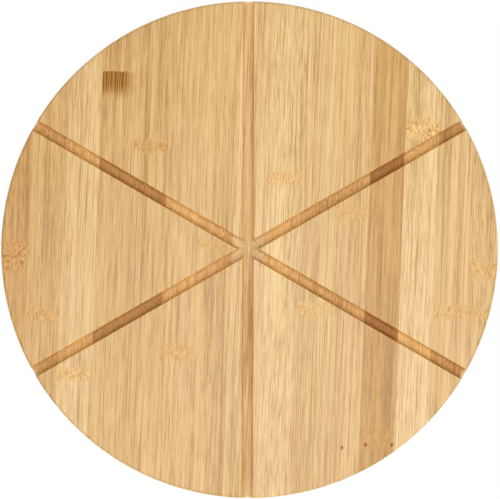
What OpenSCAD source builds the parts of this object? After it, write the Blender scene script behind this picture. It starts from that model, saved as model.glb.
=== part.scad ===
// Round bamboo serving board with three cove grooves that cross at its middle and part its face
// into six wedges.
// The board is laid up from three plies of flat strips, glued face to face and edge to edge. The
// strips of the top and the bottom ply run nearly along Y, and those of the core run nearly along X.
// The underside lies on z = 0 and the board's centre is on the Z axis.

/* [Board] */
// Diameter of the board
board_d = 330; // [240:5:400]
// Radius of the eased edge round the face and round the underside
rim_r = 2; // [0.5:0.25:3]

/* [Plies] */
// Thickness of the top ply, which holds the grooves
top_t = 5; // [4.5:0.25:9]
// Thickness of the crosswise core ply
core_t = 5; // [2:0.25:12]
// Thickness of the bottom ply
bottom_t = 5; // [3:0.25:9]

/* [Strips] */
// Number of strips side by side in each ply
strip_count = 15; // [6:1:19]
// How much wider than the board a ply is glued up, before the round is sawn out of it
ply_spare_w = 7.5; // [7:0.5:20]
// Lean of the strips from the straight groove, in degrees
grain_lean = 2.1; // [0:0.1:6]
// How far the top ply is glued on to the right of the board's centre
top_shift = -0.6; // [-3.5:0.1:3.5]
// How far the core is glued on off the board's centre, square to its own strips
core_shift = -3; // [-3.5:0.1:3.5]
// How far the bottom ply is glued on to the right of the board's centre
bottom_shift = 3.5; // [-3.5:0.1:3.5]

/* [Grooves] */
// Number of grooves that run right across the board
groove_count = 3; // [1:1:6]
// Width of the round-nosed cutter that makes the grooves
groove_w = 7.25; // [5:0.25:8]
// Width of the small flat at the tip of the cutter's nose
nose_flat_w = 0.8; // [0.4:0.1:2]
// Depth of the grooves below the face
groove_depth = 4; // [2:0.1:4.4]
// Width and depth of the sanded slope along the lips of the grooves
lip_ease = 0.3; // [0.1:0.05:0.8]
// How far the crossing of the grooves lies to the right of the board's centre
crossing_x = -1.1; // [-4:0.1:4]
// How far the crossing of the grooves lies above the board's centre, as seen from over the face
crossing_y = 0.5; // [-4:0.1:4]

/* [Hidden] */
// Facets of a full circle
$fn = 96;
// Overrun of every cut past the surface that it cuts
over = 1;

board_r = board_d / 2;
strip_w = (board_d + ply_spare_w) / strip_count;
groove_r = groove_w / 2;
// The plies are stacked upwards from the underside
core_z = bottom_t;
top_z = core_z + core_t;
board_t = top_z + top_t;
// Height of the grooves' floor, and of the centre that the cutter's nose is rounded about
floor_z = board_t - groove_depth;
nose_z = floor_z + sqrt(groove_r ^ 2 - (nose_flat_w / 2) ^ 2);
// Half of the groove's width where its lips begin
lip_half_w = nose_z > board_t - lip_ease
    ? sqrt(groove_r ^ 2 - (nose_z - board_t + lip_ease) ^ 2)
    : groove_r;
// Far enough from the middle to be clear of the rim on every side
beyond = board_r + over;
// Length of the cutter's path, which clears the rim at both ends
groove_run = 2 * (beyond + max(abs(crossing_x), abs(crossing_y)));

// Tones of bamboo, from the palest strips to the browned ones
pale = [0.91, 0.78, 0.58];
browned = [0.70, 0.50, 0.31];
// How browned each strip is, from left to right, taken in turn
top_tone_shares = [0.75, 0.45, 0.60, 0.55, 0.40, 0.30, 0.35, 0.20, 0.25, 0.15, 0.20, 0.45, 0.15, 0.40, 0.55];
core_tone_shares = [0.50, 0.30, 0.70, 0.40];
bottom_tone_shares = [0.35, 0.55, 0.25, 0.45, 0.30];

function tone(shares, i) =
    let (share = shares[(i - 1) % len(shares)])
    pale * (1 - share) + browned * share;

// Places of the long sides of all strips of a ply, measured square to the strips. The first and
// the last side lie past the rim, which trims the two outermost strips.
function sides(shift) = concat(
    [-beyond],
    [for (k = [1 : strip_count - 1]) shift + (k - strip_count / 2) * strip_w],
    [beyond]
);

function strip_name(ply, i) = str(ply, "_strip_", i < 10 ? "0" : "", i);

// Half of the board's section, with both edges of the rim rounded
module rim_section() {
    square([board_r - rim_r, board_t]);
    translate([0, rim_r])
        square([board_r, board_t - 2 * rim_r]);
    for (z = [rim_r, board_t - rim_r])
        translate([board_r - rim_r, z])
            circle(rim_r);
}

// The board's whole body before it is parted into strips
module disc() {
    rotate_extrude()
        rim_section();
}

// Section of a groove: a round cove with a narrow flat floor, straight walls above it and sloped
// lips at the face
module groove_section() {
    intersection() {
        translate([0, nose_z])
            circle(groove_r);
        translate([-groove_r - over, floor_z])
            square([groove_w + 2 * over, groove_w]);
    }
    translate([-groove_r, nose_z])
        square([groove_w, groove_depth + over]);
    polygon([
        [-lip_half_w - lip_ease - over, board_t + over],
        [lip_half_w + lip_ease + over, board_t + over],
        [lip_half_w, board_t - lip_ease],
        [-lip_half_w, board_t - lip_ease]
    ]);
}

// One groove, which runs out through the rim at both ends. The first one runs along Y.
module groove(k) {
    translate([crossing_x, crossing_y])
        rotate(k * 180 / groove_count)
            rotate([90, 0, 0])
                linear_extrude(groove_run, center = true)
                    groove_section();
}

// Cuts the grooves out of the piece that it is given, one after the other
module grooved(k = 0) {
    if (k < groove_count)
        difference() {
            grooved(k + 1) children();
            groove(k);
        }
    else
        children();
}

// Blank of one strip, from height `low` to height `high`, which reaches past the rim at both ends
module bar(shift, i, low, high) {
    side = sides(shift);
    translate([side[i - 1], -beyond, low])
        cube([side[i] - side[i - 1], 2 * beyond, high - low]);
}

// One strip of the top ply, cut by the grooves and the rim
module top_strip(i) {
    color(tone(top_tone_shares, i))
        grooved()
            intersection() {
                disc();
                rotate(-grain_lean)
                    bar(top_shift, i, top_z, board_t + over);
            }
}

// One strip of the core, which runs square to the two outer plies
module core_strip(i) {
    color(tone(core_tone_shares, i))
        intersection() {
            disc();
            rotate(90 - grain_lean)
                bar(core_shift, i, core_z, top_z);
        }
}

// One strip of the bottom ply, which the board rests on
module bottom_strip(i) {
    color(tone(bottom_tone_shares, i))
        intersection() {
            disc();
            rotate(-grain_lean)
                bar(bottom_shift, i, -over, core_z);
        }
}

for (i = [1 : strip_count])
    top_strip(i);
for (i = [1 : strip_count])
    core_strip(i);
for (i = [1 : strip_count])
    bottom_strip(i);
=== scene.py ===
"""Round bamboo serving board with three cove grooves, seen from straight above on a pale table."""

import math

import bmesh
import bpy
from mathutils import Matrix, Vector


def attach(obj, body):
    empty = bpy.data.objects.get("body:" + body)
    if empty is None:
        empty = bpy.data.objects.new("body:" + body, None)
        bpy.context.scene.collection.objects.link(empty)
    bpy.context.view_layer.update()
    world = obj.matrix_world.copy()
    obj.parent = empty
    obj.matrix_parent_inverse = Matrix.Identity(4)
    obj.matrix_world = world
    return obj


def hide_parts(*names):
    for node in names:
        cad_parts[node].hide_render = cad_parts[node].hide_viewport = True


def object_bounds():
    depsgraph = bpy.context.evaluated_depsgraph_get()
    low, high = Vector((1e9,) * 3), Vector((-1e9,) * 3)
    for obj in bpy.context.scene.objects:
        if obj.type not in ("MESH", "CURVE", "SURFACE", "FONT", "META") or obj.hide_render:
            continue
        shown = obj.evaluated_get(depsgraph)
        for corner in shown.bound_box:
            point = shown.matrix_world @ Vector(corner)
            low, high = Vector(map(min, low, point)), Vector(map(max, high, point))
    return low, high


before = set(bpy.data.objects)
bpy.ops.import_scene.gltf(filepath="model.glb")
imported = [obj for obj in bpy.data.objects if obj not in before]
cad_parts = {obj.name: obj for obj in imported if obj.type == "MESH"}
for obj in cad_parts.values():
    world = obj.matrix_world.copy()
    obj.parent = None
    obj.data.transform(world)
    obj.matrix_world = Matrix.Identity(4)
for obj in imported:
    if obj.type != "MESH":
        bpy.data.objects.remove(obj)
frame_low, frame_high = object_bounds()

# Camera
# The board is looked at from straight above, near enough that the far walls of the grooves just
# show towards the rim. The camera's place and lens put the rim on the circle that it has in the
# picture.
MM = 0.001
board_r = (frame_high.x - frame_low.x) / 2
board_t = frame_high.z
rim_r = 2 * MM

picture_w = 500
picture_h = 499
rim_circle_x = 249.52
rim_circle_y = 249.68
rim_circle_r = 248.27
eye_height = 1.0
near_limit = 0.05
roll = math.radians(0.17)

rim_distance = eye_height - (board_t - rim_r)
metres_a_pixel = board_r / rim_circle_r
camera = bpy.data.objects.new("overhead_camera", bpy.data.cameras.new("overhead_camera"))
bpy.context.scene.collection.objects.link(camera)
camera.data.sensor_fit = "HORIZONTAL"
camera.data.lens = camera.data.sensor_width * rim_distance / (picture_w * metres_a_pixel)
camera.location = (
    (picture_w / 2 - rim_circle_x) * metres_a_pixel,
    (rim_circle_y - picture_h / 2) * metres_a_pixel,
    eye_height,
)
camera.rotation_euler.z = roll
camera.data.clip_start = near_limit
bpy.context.scene.camera = camera

# Top ply
# Fifteen flat strips of bamboo, glued edge to edge, run almost along the straight groove. The ply is
# sawn round and eased at the rim, and a round-nosed cutter then mills three coves right across it.
strip_count = 15
ply_spare_w = 7.5 * MM
strip_w = (2 * board_r + ply_spare_w) / strip_count
grain_lean = math.radians(2.1)
top_shift = -0.6 * MM
top_z = 10 * MM
groove_count = 3
groove_w = 7.25 * MM
groove_depth = 4 * MM
nose_flat_w = 0.8 * MM
lip_ease = 0.3 * MM
crossing = Vector((-1.1 * MM, 0.5 * MM, 0))
over = 1 * MM
cutter_spare = 20 * MM
rim_sides = 480
rim_steps = 8
nose_steps = 14
smooth_angle = math.radians(32)


def deselect():
    if bpy.context.mode != "OBJECT":
        bpy.ops.object.mode_set(mode="OBJECT")
    bpy.ops.object.select_all(action="DESELECT")


def take_up(piece):
    """Makes the piece the only selected one, and the active one."""
    deselect()
    piece.select_set(True)
    bpy.context.view_layer.objects.active = piece


def pick_edges(piece, wanted):
    """Selects, in edit mode, each edge whose middle and direction satisfy the test."""
    mesh = bmesh.from_edit_mesh(piece.data)
    bpy.ops.mesh.select_all(action="DESELECT")
    for edge in mesh.edges:
        start, end = edge.verts[0].co, edge.verts[1].co
        edge.select = wanted((start + end) / 2, (end - start).normalized())
    mesh.select_flush_mode()
    bmesh.update_edit_mesh(piece.data)


def round_blank(name, low, high, eased):
    """One ply of the board, sawn round. `eased` is the height of the edge that is rounded, if any."""
    deselect()
    bpy.ops.mesh.primitive_cylinder_add(
        vertices=rim_sides, radius=board_r, depth=high - low, location=(0, 0, (low + high) / 2)
    )
    blank = bpy.context.object
    blank.name = name
    bpy.ops.object.transform_apply(location=True)
    if eased is not None:
        bpy.ops.object.mode_set(mode="EDIT")
        bpy.ops.mesh.select_mode(type="EDGE")
        pick_edges(blank, lambda middle, along: abs(middle.z - eased) < rim_r / 10)
        bpy.ops.mesh.bevel(offset=rim_r, segments=rim_steps, affect="EDGES")
        bpy.ops.object.mode_set(mode="OBJECT")
    return blank


def groove_cutter():
    """The path of the round-nosed cutter along Y, with flared sides above the lips of the groove."""
    deselect()
    low = board_t - groove_depth
    high = board_t + over
    lengthwise = 0.9
    bpy.ops.mesh.primitive_cube_add(
        size=1,
        location=(crossing.x, crossing.y, (low + high) / 2),
        scale=(groove_w, 2 * board_r + cutter_spare, high - low),
    )
    cutter = bpy.context.object
    cutter.name = "groove_cutter"
    bpy.ops.object.transform_apply(location=True, scale=True)
    bpy.ops.object.mode_set(mode="EDIT")
    bpy.ops.mesh.select_mode(type="EDGE")
    pick_edges(cutter, lambda middle, along: abs(along.y) > lengthwise and middle.z < low + lip_ease)
    bpy.ops.mesh.bevel(offset=(groove_w - nose_flat_w) / 2, segments=nose_steps, affect="EDGES")
    bpy.ops.mesh.select_all(action="SELECT")
    bpy.ops.mesh.bisect(plane_co=(0, 0, board_t - lip_ease), plane_no=(0, 0, 1))
    pick_edges(cutter, lambda middle, along: middle.z > high - lip_ease)
    flare = (groove_w / 2 + lip_ease + over) / (groove_w / 2)
    bpy.ops.transform.resize(value=(flare, 1, 1), center_override=(crossing.x, crossing.y, high))
    bpy.ops.object.mode_set(mode="OBJECT")
    return cutter


def mill(blank, cutter, turn):
    """Takes one groove out of the blank, turned about the crossing of the grooves."""
    tool = cutter.copy()
    tool.data = cutter.data.copy()
    bpy.context.scene.collection.objects.link(tool)
    tool.data.transform(
        Matrix.Translation(crossing) @ Matrix.Rotation(turn, 4, "Z") @ Matrix.Translation(-crossing)
    )
    take_up(blank)
    cut = blank.modifiers.new("groove", "BOOLEAN")
    cut.operation = "DIFFERENCE"
    cut.solver = "EXACT"
    cut.object = tool
    bpy.ops.object.modifier_apply(modifier=cut.name)
    bpy.data.objects.remove(tool)


def saw_strip(blank, name, turn, start, end):
    """Copies the blank and keeps what lies between two seams. The rim ends it where one is None."""
    strip = blank.copy()
    strip.data = blank.data.copy()
    strip.name = name
    strip.data.name = name
    bpy.context.scene.collection.objects.link(strip)
    take_up(strip)
    bpy.ops.object.mode_set(mode="EDIT")
    across = Vector((math.cos(turn), math.sin(turn), 0))
    for seam, side in ((start, -1), (end, 1)):
        if seam is not None:
            bpy.ops.mesh.select_all(action="SELECT")
            bpy.ops.mesh.bisect(
                plane_co=across * seam, plane_no=across * side, use_fill=True, clear_outer=True
            )
    bpy.ops.object.mode_set(mode="OBJECT")
    bpy.ops.object.shade_smooth_by_angle(angle=smooth_angle)
    even = strip.modifiers.new("even_faces", "WEIGHTED_NORMAL")
    even.keep_sharp = True
    bpy.ops.object.modifier_apply(modifier=even.name)
    return strip


def seam_pairs(shift):
    """The seams at both sides of each strip of a ply. The outermost strips end at the rim."""
    inner = [shift + (k - strip_count / 2) * strip_w for k in range(1, strip_count)]
    return list(zip([None, *inner], [*inner, None]))


def strip_middle(shift, i):
    """Place of the middle of a strip, measured square to the grain."""
    return shift + (i + 0.5 - strip_count / 2) * strip_w


def dress(strip, material):
    """Gives the strip its material, in place of any that came with the blank."""
    strip.data.materials.clear()
    strip.data.materials.append(material)


# How far one step of a seed moves a pattern, in three directions
seed_steps = (3.7, 5.3, 1.9)
# Sockets of a Mix node that mixes colours
mix_share, mix_first, mix_second, mix_result = 0, 6, 7, 2


class Grain:
    """A shader socket that takes part in sums, so that a pattern is written as it is worked out."""

    def __init__(self, tree, socket):
        self.tree = tree
        self.socket = socket

    def node(self, kind, settings=None, values=None, out=0):
        made = self.tree.nodes.new(kind)
        for key, value in (settings or {}).items():
            if key == "stops":
                ramp = made.color_ramp.elements
                while len(ramp) < len(value):
                    ramp.new(0.5)
                for stop, (place, colour) in zip(ramp, value):
                    stop.position = place
                    stop.color = (*colour, 1)
            else:
                setattr(made, key, value)
        for key, value in (values or {}).items():
            if isinstance(value, Grain):
                self.tree.links.new(value.socket, made.inputs[key])
            else:
                made.inputs[key].default_value = value
        return Grain(self.tree, made.outputs[out])

    def beside(self, name):
        """Another output of the node that this socket belongs to."""
        return Grain(self.tree, self.socket.node.outputs[name])

    def sum(self, operation, first, second=0.0):
        return self.node("ShaderNodeMath", {"operation": operation}, {0: first, 1: second})

    def __add__(self, other):
        return self.sum("ADD", self, other)

    def __radd__(self, other):
        return self.sum("ADD", other, self)

    def __sub__(self, other):
        return self.sum("SUBTRACT", self, other)

    def __rsub__(self, other):
        return self.sum("SUBTRACT", other, self)

    def __mul__(self, other):
        return self.sum("MULTIPLY", self, other)

    def __rmul__(self, other):
        return self.sum("MULTIPLY", other, self)

    def __abs__(self):
        return self.sum("ABSOLUTE", self)

    def rise(self, start, end):
        """0 up to start, 1 from end on, and smooth between them. It falls where start is above end."""
        flip = start > end
        return self.node(
            "ShaderNodeMapRange",
            {"interpolation_type": "SMOOTHSTEP"},
            {
                "Value": self,
                "From Min": end if flip else start,
                "From Max": start if flip else end,
                "To Min": 1.0 if flip else 0.0,
                "To Max": 0.0 if flip else 1.0,
            },
        )

    def noise(self, across, along, seed, detail=2.0, rough=0.5, swirl=0.0):
        """A pattern from 0 to 1. across and along are its waves to the mm, square to the grain
        and along it.
        """
        waves = self.node(
            "ShaderNodeVectorMath", {"operation": "MULTIPLY"}, {0: self, 1: (across, along, across)}
        )
        offset = tuple(seed * step for step in seed_steps)
        return self.node(
            "ShaderNodeTexNoise",
            values={
                "Vector": self.node(
                    "ShaderNodeVectorMath", {"operation": "ADD"}, {0: waves, 1: offset}
                ),
                "Scale": 1.0,
                "Detail": detail,
                "Roughness": rough,
                "Distortion": swirl,
            },
        )

    def swing(self, across, along, seed, detail=2.0, rough=0.5):
        """The same pattern, but about zero."""
        return self.noise(across, along, seed, detail, rough) - 0.5

    def blend(self, share, other, mode="MIX"):
        """This colour with a share of another one laid over it."""
        laid_over = other if isinstance(other, Grain) else (*other, 1)
        return self.node(
            "ShaderNodeMix",
            {"data_type": "RGBA", "blend_type": mode},
            {mix_share: share, mix_first: self, mix_second: laid_over},
            out=mix_result,
        )


def srgb(red, green, blue):
    """A colour as a picture states it, from 0 to 255, in the light's own measure."""
    return tuple(
        c / 12.92 if c <= 0.04045 else ((c + 0.055) / 1.055) ** 2.4
        for c in (red / 255, green / 255, blue / 255)
    )


def mixed(pale, dark, share):
    return tuple(p * (1 - share) + d * share for p, d in zip(pale, dark))


def tinted(colour, tint):
    return tuple(c * share for c, share in zip(colour, tint))


# Tints of what shows in the bamboo, as shares of the red, green and blue that it is laid over
dark_fibre = (0.66, 0.56, 0.37)
pale_fibre = (1.16, 1.24, 1.42)
pink_lean = (0.98, 0.93, 0.93)
straw_lean = (0.98, 1.02, 0.86)
fine_line = (0.66, 0.54, 0.38)
golden_knuckle = (0.97, 0.83, 0.55)
pale_fleck = (1.16, 1.2, 1.1)
dark_net = (0.66, 0.44, 0.17)
browned_fibre = (0.63, 0.46, 0.15)
comb_tooth = (0.3, 0.15, 0.01)
scar_line = (0.6, 0.39, 0.12)
dark_dot = (0.42, 0.25, 0.0)
oily_end = (0.84, 0.8, 0.74)
glue_line = (0.5, 0.38, 0.26)
# How much paler or darker one unit of tone or drift makes the fibres
tone_step = 0.3
# Refraction, gloss and roughness of the oiled face
oil_ior = 1.5
oil_gloss = 0.38
oil_rough = 0.33


def bamboo(name, turn, middle, seed, face, run, drift, knuckles=(), streaks=(), dots=(), inside=None):
    """Sanded and oiled bamboo. Its patterns fill the strip, so a groove or the rim lays them open.

    turn and middle place the strip. face and inside are its colours at the face and, where it has
    any, in the grooves. run is how long its fibres show, from 0, short dashes, to 1, long lines.
    drift is how much darker it grows towards its lower end. knuckles are the culm's nodes, as
    (place along the strip in mm, half height in mm, strength, share of browned fibres, strength
    of the scar). streaks are (place across the strip in mm, half width in mm, tone, drift), where
    the tone goes from -1, pale, to 1, dark. dots are small dark spots, as (place across, place
    along) in mm.
    """
    material = bpy.data.materials.new(name)
    material.use_nodes = True
    tree = material.node_tree
    shader = tree.nodes["Principled BSDF"]
    shader.inputs["IOR"].default_value = oil_ior
    shader.inputs["Specular IOR Level"].default_value = oil_gloss
    start = Grain(tree, None)

    # Places are in mm: across the strip from its middle line, along its grain, and in height
    position = start.node("ShaderNodeTexCoord", out="Object")
    place = start.node(
        "ShaderNodeMapping",
        {"vector_type": "TEXTURE"},
        {
            "Vector": position,
            "Location": (middle * math.cos(turn), middle * math.sin(turn), 0),
            "Rotation": (0, 0, turn),
            "Scale": (MM, MM, MM),
        },
    )
    across = start.node("ShaderNodeSeparateXYZ", values={0: place})
    along = across.beside("Y")
    height = across.beside("Z")

    # Where the culm had its nodes the fibres wander sideways. Browned fibres end unevenly at the
    # top, fade out downwards, and fade towards the right side of the strip
    knuckle = 0.0
    browned = 0.0
    scar = 0.0
    for spot, half_height, strength, browning, scarring in knuckles:
        wavy = along + place.swing(0.3, 0.02, seed + spot) * 5.0
        ragged = wavy + place.swing(0.9, 0.05, seed + spot + 1) * 1.6 * half_height
        knuckle = knuckle + abs(ragged - spot).rise(half_height * 1.4, half_height * 0.5) * strength
        if browning:
            uneven = place.swing(0.8, 0.02, seed + spot + 2) * 2.5
            below = (spot + half_height - along + uneven).rise(0.0, 0.9)
            fading = (ragged - spot).rise(-1.6 * half_height, 0.0) * across.rise(12.0, 0.0)
            browned = browned + below * fading * browning
        if scarring:
            scar = scar + abs(wavy - (spot - half_height)).rise(1.1, 0.3) * scarring
    sway = place.swing(0.03, 0.006, seed + 0.5, detail=1.0) * 0.3
    if knuckles:
        sway = sway + place.swing(0.4, 0.25, seed + 0.7, detail=1.0) * knuckle * 3.0
    straight = start.node("ShaderNodeCombineXYZ", values={0: across + sway, 1: along, 2: height})

    # Fibre bundles run the length of the strip, in bands, cords, threads and dashes
    band_share = 0.3
    cord_share = 0.25 + 0.3 * run
    thread_share = 1.1 + 0.7 * run
    dash_share = 1.5 - 0.9 * run
    bands = straight.swing(0.1, 0.002, seed + 1, detail=1.0)
    cords = straight.swing(0.4, 0.005, seed + 2, detail=1.0)
    threads = straight.swing(1.15, 0.012, seed + 3, rough=0.75)
    dashes = straight.swing(1.1, 0.07, seed + 4, rough=0.65)
    fibre = bands * band_share + cords * cord_share
    fibre = fibre + threads * thread_share + dashes * dash_share
    board_r_mm = board_r / MM
    fibre = fibre + along * (drift * tone_step / board_r_mm)
    for spot, half_width, tone, streak_drift in streaks:
        shade = along * (streak_drift * tone_step / board_r_mm) - tone * tone_step
        fibre = fibre + abs(across - spot).rise(half_width * 1.4, half_width * 0.6) * shade

    def grained(tone):
        """The colours of the fibres about one tone."""
        return start.node(
            "ShaderNodeValToRGB",
            {"stops": [
                (0.15, tinted(tone, dark_fibre)),
                (0.5, tone),
                (0.8, tinted(tone, pale_fibre)),
            ]},
            {0: fibre + 0.5},
        )

    colour = grained(face)
    # Neighbouring fibres lean to pink or to straw, and a few dark lines run between them
    hue = straight.noise(0.45, 0.005, seed + 5)
    lean_share = 0.7
    colour = colour.blend(hue.rise(0.5, 0.66) * lean_share, pink_lean, "MULTIPLY")
    colour = colour.blend(hue.rise(0.5, 0.34) * lean_share, straw_lean, "MULTIPLY")
    lines = abs(straight.noise(0.6, 0.006, seed + 9, detail=1.0) - 0.47).rise(0.02, 0.006)
    colour = colour.blend(lines * cord_share, tinted(face, fine_line))

    # The knuckles are golden nets with pale flecks. In some of them the fibres have browned like
    # the teeth of a comb, or a scar runs along the lower side
    if knuckles:
        colour = colour.blend(knuckle * 0.85, tinted(face, golden_knuckle))
        net = straight.noise(1.5, 0.33, seed + 6, rough=0.6, swirl=0.25)
        colour = colour.blend(net.rise(0.52, 0.59) * knuckle, tinted(face, pale_fleck))
        colour = colour.blend(net.rise(0.46, 0.37) * knuckle, tinted(face, dark_net))
        if isinstance(browned, Grain):
            teeth = start.sum("SINE", (across + sway) * 3.4 + cords * 9.0) + threads * 3.0
            colour = colour.blend(browned * 0.9, tinted(face, browned_fibre))
            colour = colour.blend(browned * teeth.rise(-0.2, 0.6) * 0.85, tinted(face, comb_tooth))
        if isinstance(scar, Grain):
            colour = colour.blend(scar * 0.7, tinted(face, scar_line))
    pits = 0.0
    for dot_x, dot_y in dots:
        off_x = across - dot_x
        off_y = along - dot_y
        pits = pits + (off_x * off_x + off_y * off_y * 0.5).rise(1.3, 0.3)
    if dots:
        colour = colour.blend(pits * 0.85, tinted(face, dark_dot))
    rough = oil_rough + threads * 0.25 + cords * 0.12 + pits * 0.5 + browned * 0.45

    # Inside the grooves the cutter lays the deeper layers open, leaves them rougher, and bares the
    # fibres' ends. The eased edge of the rim lies as deep, but keeps the looks of the face
    end_share = 0.12
    if inside is not None:
        plan = start.node(
            "ShaderNodeVectorMath", {"operation": "MULTIPLY"}, {0: position, 1: (1, 1, 0)}
        )
        radius = start.node("ShaderNodeVectorMath", {"operation": "LENGTH"}, {0: plan}, out="Value")
        inward = (board_r - rim_r - radius) * (1 / MM)
        depth = board_t / MM - height
        milled = depth.rise(0.2, 0.9) * inward.rise(-0.7, -0.3)
        colour = colour.blend(milled, grained(inside))
        rough = rough + milled * 0.2
        end_share = end_share + milled * 0.78

    # Where fibres are cut across, they drink more oil and stay darker
    fibre_axis = (-math.sin(turn), math.cos(turn), 0)
    normal = start.node("ShaderNodeNewGeometry", out="Normal")
    end_grain = abs(start.node(
        "ShaderNodeVectorMath", {"operation": "DOT_PRODUCT"}, {0: normal, 1: fibre_axis}, out="Value"
    ))
    colour = colour.blend(end_grain.rise(0.1, 1.0) * end_share, oily_end, "MULTIPLY")

    # The glued seam shows as a hairline along both sides of the strip
    half_strip_w = strip_w / MM / 2
    stain_w = 0.25
    glue_w = 0.02
    seam = abs(across).rise(half_strip_w - stain_w, half_strip_w - glue_w)
    colour = colour.blend(seam * 0.3, tinted(face, glue_line))

    tree.links.new(colour.socket, shader.inputs["Base Color"])
    tree.links.new(rough.socket, shader.inputs["Roughness"])
    relief_share = 0.4
    relief_h = 0.04 * MM
    relief = start.node(
        "ShaderNodeBump",
        values={"Strength": relief_share, "Distance": relief_h, "Height": fibre - seam * 0.8},
    )
    tree.links.new(relief.socket, shader.inputs["Normal"])
    return material


cream = srgb(238, 203, 145)
wheat = srgb(220, 179, 122)
tan = srgb(238, 189, 114)
toasted = srgb(196, 144, 70)
brown = srgb(170, 110, 49)
top_seed = 11

# Each strip from left to right: tone at the face from 0, cream, to 1, toasted; tone in the grooves
# from 0, tan, to 1, brown, or None for wheat, which the straight groove lays open in strip 8; run
# of its fibres; drift; its knuckles; its streaks; and its dots
top_looks = [
    (
        0.85, 0.60, 0.40, -0.8,
        [(-6, 4.5, 1.2, 0.0, 0.6), (-14, 6, 1.1, 0.0, 0.0)],
        [(8, 4, 0.3, 0.0)],
        [],
    ),
    (0.68, 0.54, 0.50, -0.15, [(-49, 4, 0.8, 0.0, 0.0)], [], []),
    (0.40, 0.28, 0.60, 0.0, [(-87, 4, 0.8, 0.0, 0.0)], [], []),
    (0.62, 0.80, 0.65, -0.1, [(107, 8, 0.3, 1.0, 0.0)], [], [(-10.5, -61.1)]),
    (0.60, 0.80, 0.75, -0.25, [(66, 5, 0.7, 0.0, 0.0)], [], []),
    (0.53, 0.22, 0.60, 0.05, [(-70, 5, 0.7, 0.0, 0.0)], [], []),
    (0.54, 0.32, 0.70, 0.1, [(2, 4, 0.5, 0.0, 0.0)], [(7.5, 3.8, -0.05, 0.3)], []),
    (0.33, None, 0.80, -0.15, [], [(-4.5, 5, 0.22, 0.55)], []),
    (0.25, 0.22, 0.35, 0.0, [(48, 5, 0.7, 0.0, 0.0)], [], []),
    (0.34, 0.42, 0.95, 0.4, [(-38, 5, 0.6, 0.0, 0.0)], [], []),
    (0.46, 0.40, 0.85, 0.15, [(28, 5, 0.6, 0.0, 0.0)], [], [(-0.4, -128.8)]),
    (0.81, 0.98, 0.75, 0.4, [(-121, 9, 0.5, 0.0, 0.0)], [], [(-7.4, -126.1), (9.9, -125.5)]),
    (0.22, 0.22, 0.45, -0.2, [(84, 7, 1.0, 0.0, 0.0)], [], []),
    (
        0.47, 0.68, 0.90, -0.1,
        [(-36, 4, 0.7, 0.0, 0.0)],
        [
            (-7, 1.1, 0.5, 0.0), (-3.6, 0.8, 0.4, 0.0), (0, 1.6, -0.35, 0.0), (4.5, 1.2, 0.4, 0.0),
            (10.3, 0.8, -0.8, 0.0),
        ],
        [],
    ),
    (
        0.47, 0.45, 0.25, 0.0,
        [(-6, 6, 0.85, 0.0, 0.0), (-36, 4, 0.5, 0.0, 0.0)],
        [(-4, 5, 0.2, 0.0), (9, 4, -0.3, 1.2)],
        [],
    ),
]

top_blank = round_blank("top_blank", top_z, board_t, board_t)
cutter = groove_cutter()
for k in range(groove_count):
    mill(top_blank, cutter, k * math.pi / groove_count)
bpy.data.objects.remove(cutter)

top_seams = seam_pairs(top_shift)
for i, (face_tone, groove_tone, run, drift, knuckles, streaks, dots) in enumerate(top_looks):
    number = f"{i + 1:02d}"
    strip = saw_strip(top_blank, "grooved_strip_" + number, -grain_lean, *top_seams[i])
    dress(strip, bamboo(
        "face_bamboo_" + number,
        turn=-grain_lean,
        middle=strip_middle(top_shift, i),
        seed=top_seed + i,
        face=mixed(cream, toasted, face_tone),
        run=run,
        drift=drift,
        knuckles=knuckles,
        streaks=streaks,
        dots=dots,
        inside=wheat if groove_tone is None else mixed(tan, brown, groove_tone),
    ))
    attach(strip, "root")
    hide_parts("top_strip_" + number)
bpy.data.objects.remove(top_blank)

# Core ply
# Fifteen more strips lie crosswise in the middle of the board and keep it flat. Only their ends
# and the sides of the outermost two show, as the middle band of the rim.
core_z = 5 * MM
core_shift = -3 * MM
core_turn = math.radians(90) - grain_lean
core_seed = 41.0
core_tones = (0.55, 0.35, 0.75, 0.45)
core_run = 0.6

core_blank = round_blank("core_blank", core_z, top_z, None)
core_seams = seam_pairs(core_shift)
for i in range(strip_count):
    number = f"{i + 1:02d}"
    strip = saw_strip(core_blank, "crosswise_strip_" + number, core_turn, *core_seams[i])
    dress(strip, bamboo(
        "core_bamboo_" + number,
        turn=core_turn,
        middle=strip_middle(core_shift, i),
        seed=core_seed + i,
        face=mixed(cream, toasted, core_tones[i % len(core_tones)]),
        run=core_run,
        drift=0.0,
    ))
    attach(strip, "root")
    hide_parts("core_strip_" + number)
bpy.data.objects.remove(core_blank)

# Bottom ply
# Fifteen strips run like those of the face and balance them. Their undersides are what the board
# rests on, sanded flat and eased at the rim, with no grooves and no feet.
bottom_shift = 3.5 * MM
bottom_seed = 71.0
bottom_tones = (0.40, 0.60, 0.25, 0.50, 0.35)
bottom_runs = (0.7, 0.4, 0.85)
bottom_drifts = (0.1, -0.15, 0.2, 0.0)
# The strips' knuckles are spread this far above and below the board's middle, in mm
knuckle_reach = 120
knuckle_step = 97

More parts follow.
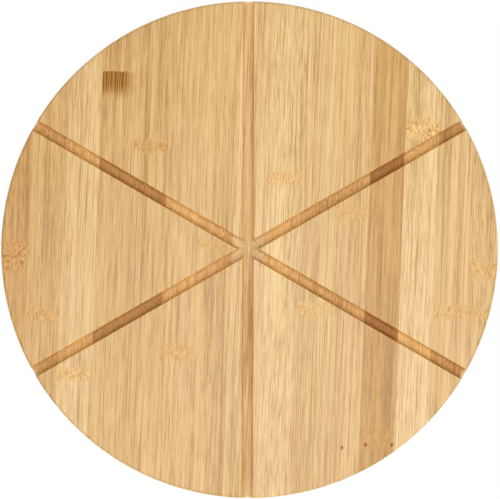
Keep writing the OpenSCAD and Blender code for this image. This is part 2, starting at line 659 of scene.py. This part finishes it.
bottom_blank = round_blank("bottom_blank", 0.0, core_z, 0.0)
bottom_seams = seam_pairs(bottom_shift)
for i in range(strip_count):
    number = f"{i + 1:02d}"
    strip = saw_strip(bottom_blank, "under_strip_" + number, -grain_lean, *bottom_seams[i])
    knuckle_place = -knuckle_reach + (i * knuckle_step) % (2 * knuckle_reach)
    dress(strip, bamboo(
        "under_bamboo_" + number,
        turn=-grain_lean,
        middle=strip_middle(bottom_shift, i),
        seed=bottom_seed + i,
        face=mixed(cream, toasted, bottom_tones[i % len(bottom_tones)]),
        run=bottom_runs[i % len(bottom_runs)],
        drift=bottom_drifts[i % len(bottom_drifts)],
        knuckles=[(knuckle_place, 5, 0.8, 0.0, 0.3)],
    ))
    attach(strip, "root")
    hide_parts("bottom_strip_" + number)
bpy.data.objects.remove(bottom_blank)

# Table and light
# A plain white table reaches past the picture on all sides. A broad soft lamp stands far off to the
# lower right, another hangs high over the board, a little to the near side, and is mirrored by the
# face, and the white room fills in.
table_w = 4.0
table_gap = 0.02 * MM
table_white = 0.86
table_rough = 0.9
table_gloss = 0.1
table_glow = 1.03
glow_share = 0.9
room_light = 0.56

deselect()
bpy.ops.mesh.primitive_plane_add(size=table_w, location=(0, 0, frame_low.z - table_gap))
table = bpy.context.object
table.name = "table"
bpy.ops.object.transform_apply(location=True)


def looked_at(tree):
    """1 for a ray that shows the table or the room to the eye, straight or by a reflection."""
    straight_on = Grain(tree, None).node("ShaderNodeLightPath", out="Is Camera Ray")
    glossy = straight_on.beside("Is Glossy Ray")
    through = straight_on.beside("Is Transmission Ray")
    return straight_on.sum("MAXIMUM", straight_on.sum("MAXIMUM", straight_on, glossy), through)


white = bpy.data.materials.new("white_table")
white.use_nodes = True
tree = white.node_tree
paint = tree.nodes["Principled BSDF"]
paint.inputs["Base Color"].default_value = (table_white, table_white, table_white, 1)
paint.inputs["Roughness"].default_value = table_rough
paint.inputs["Specular IOR Level"].default_value = table_gloss
seen = looked_at(tree)
glow = seen.node("ShaderNodeEmission", values={"Color": (1, 1, 1, 1), "Strength": table_glow})
cover = seen.node(
    "ShaderNodeMixShader",
    values={0: seen * glow_share, 1: Grain(tree, paint.outputs[0]), 2: glow},
)
tree.links.new(cover.socket, tree.nodes["Material Output"].inputs["Surface"])
table.data.materials.append(white)


def soft_lamp(name, width, height, watts, place):
    """An oblong lamp that is turned to the middle of the board."""
    lamp = bpy.data.objects.new(name, bpy.data.lights.new(name, "AREA"))
    lamp.data.shape = "RECTANGLE"
    lamp.data.size = width
    lamp.data.size_y = height
    lamp.data.energy = watts
    lamp.location = place
    lamp.rotation_euler = (-Vector(place)).to_track_quat("-Z", "Y").to_euler()
    bpy.context.scene.collection.objects.link(lamp)


soft_lamp("far_lamp", width=2.6, height=2.6, watts=48.0, place=(1.9, -3.0, 2.4))
soft_lamp("sheen_lamp", width=2.6, height=1.3, watts=36.0, place=(0.0, -0.45, 3.0))

room = bpy.data.worlds.new("white_room")
room.use_nodes = True
walls = room.node_tree.nodes["Background"]
walls.inputs["Color"].default_value = (1, 1, 1, 1)
strength = room_light + looked_at(room.node_tree) * (1 - room_light)
room.node_tree.links.new(strength.socket, walls.inputs["Strength"])
bpy.context.scene.world = room
bpy.context.scene.view_settings.view_transform = "Standard"
